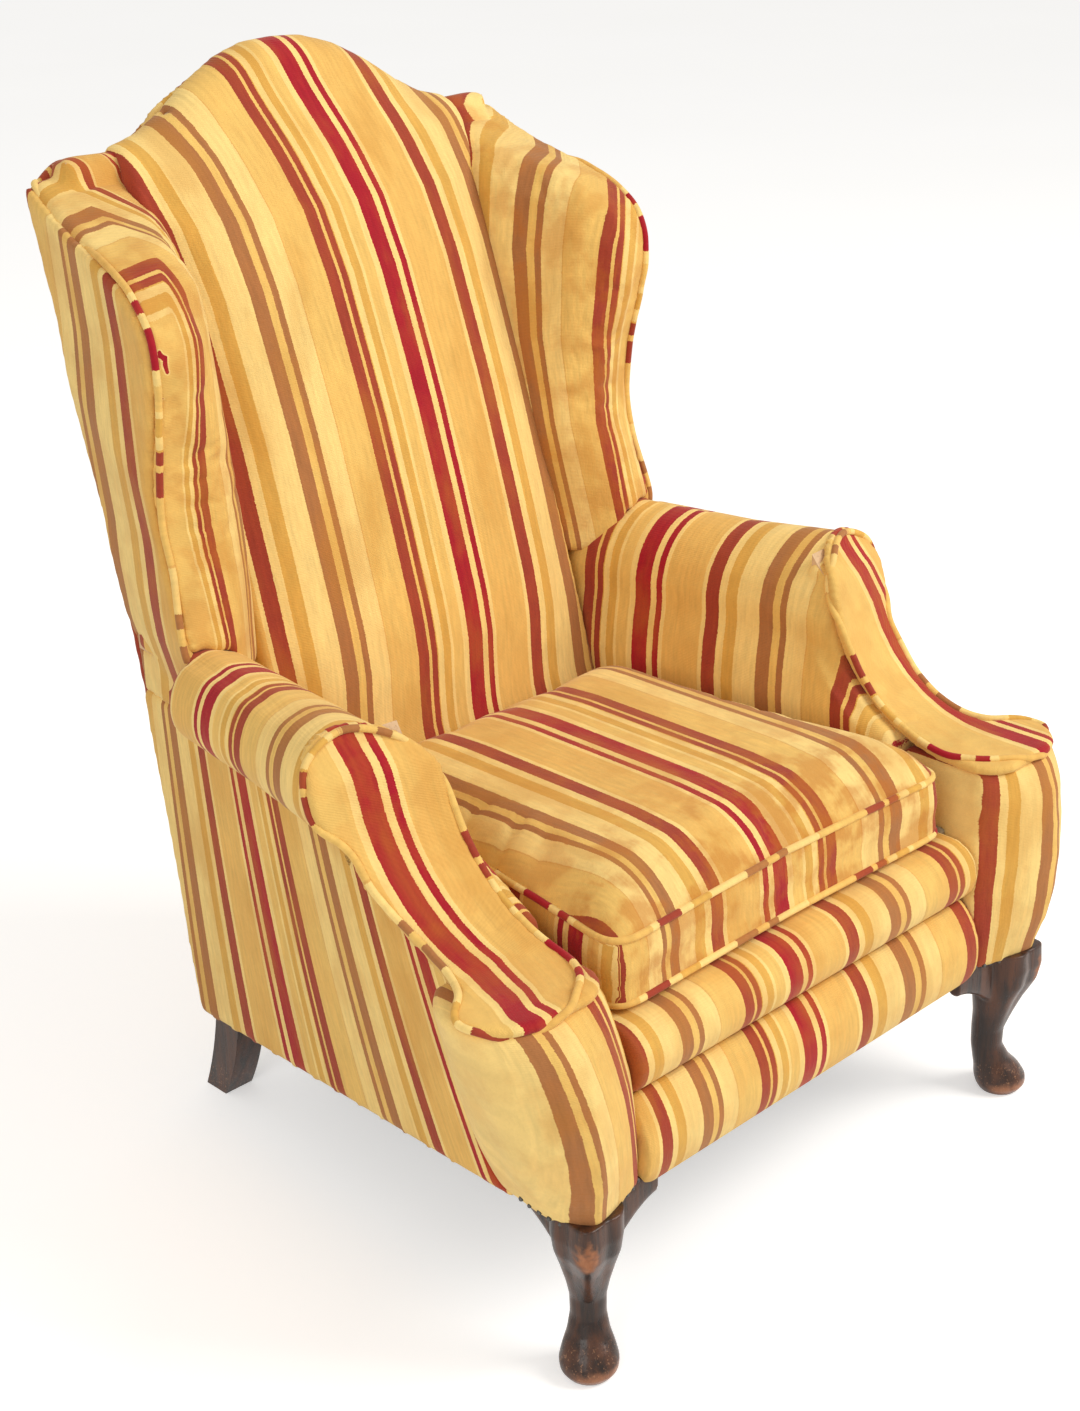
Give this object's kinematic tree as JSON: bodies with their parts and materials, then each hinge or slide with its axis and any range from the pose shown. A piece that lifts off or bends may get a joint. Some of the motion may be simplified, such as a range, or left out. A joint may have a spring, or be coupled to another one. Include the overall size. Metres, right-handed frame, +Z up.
{
  "type": "wingback armchair",
  "caption": "Wing armchair with camel back, rolled arms on swept facings, sprung seat with loose cushion, cabriole front legs and raked rear legs.",
  "frame": {"origin": "on the floor under the middle of the chair's outer box", "axes": "+Z up, front of the seat towards -Y, X across the seat"},
  "size_m": [0.884, 0.8565, 1.15],
  "materials": {
    "polished_wood": "dark mahogany stain under worn polish",
    "frame_wood": "plain beech",
    "steel": "plain steel",
    "spring_steel": "coppered spring wire",
    "jute": "woven jute",
    "stuffing": "fibre stuffing",
    "piping": "striped velvet cut on the straight",
    "striped_velvet": "gold velvet with crimson, rust and taupe stripes"
  },
  "bodies": {
    "chair": {"arm_facing_left": "striped_velvet", "arm_facing_right": "striped_velvet", "arm_post_left": "frame_wood", "arm_post_right": "frame_wood", "arm_rail_left": "frame_wood", "arm_rail_right": "frame_wood", "arm_sweep_board_left": "frame_wood", "arm_sweep_board_right": "frame_wood", "arm_tack_rail_left": "frame_wood", "arm_tack_rail_right": "frame_wood", "back_tack_rail": "frame_wood", "back_upright_left": "polished_wood", "back_upright_right": "polished_wood", "bottom_cloth": "jute", "corner_blocks": "frame_wood", "corner_screws": "steel", "crest_rail": "frame_wood", "front_border_roll": "striped_velvet", "front_leg_left": "polished_wood", "front_leg_right": "polished_wood", "front_lip_roll": "striped_velvet", "front_panel_left": "striped_velvet", "front_panel_right": "striped_velvet", "front_rail": "frame_wood", "inside_arm_left": "striped_velvet", "inside_arm_right": "striped_velvet", "inside_back": "striped_velvet", "inside_wing_left": "striped_velvet", "inside_wing_right": "striped_velvet", "knee_brackets_left": "polished_wood", "knee_brackets_right": "polished_wood", "outside_arm_left": "striped_velvet", "outside_arm_right": "striped_velvet", "outside_back": "striped_velvet", "outside_wing_left": "striped_velvet", "outside_wing_right": "striped_velvet", "rear_rail": "frame_wood", "seat_springs": "spring_steel", "seat_stuffing": "stuffing", "side_rail_left": "frame_wood", "side_rail_right": "frame_wood", "spring_canvas": "jute", "webbing_front_to_back": "jute", "webbing_side_to_side": "jute", "wing_piping_left": "piping", "wing_piping_right": "piping", "wing_post_left": "frame_wood", "wing_post_right": "frame_wood", "wing_top_rail_left": "frame_wood", "wing_top_rail_right": "frame_wood"},
    "seat_cushion": {"cushion_cover": "striped_velvet", "cushion_filling": "stuffing", "cushion_piping": "piping"}
  },
  "joints": [
    {"name": "cushion_lift", "type": "slide", "parent": "chair", "child": "seat_cushion", "axis": [0, 0, 1], "range_m": [0, 0.25]}
  ]
}
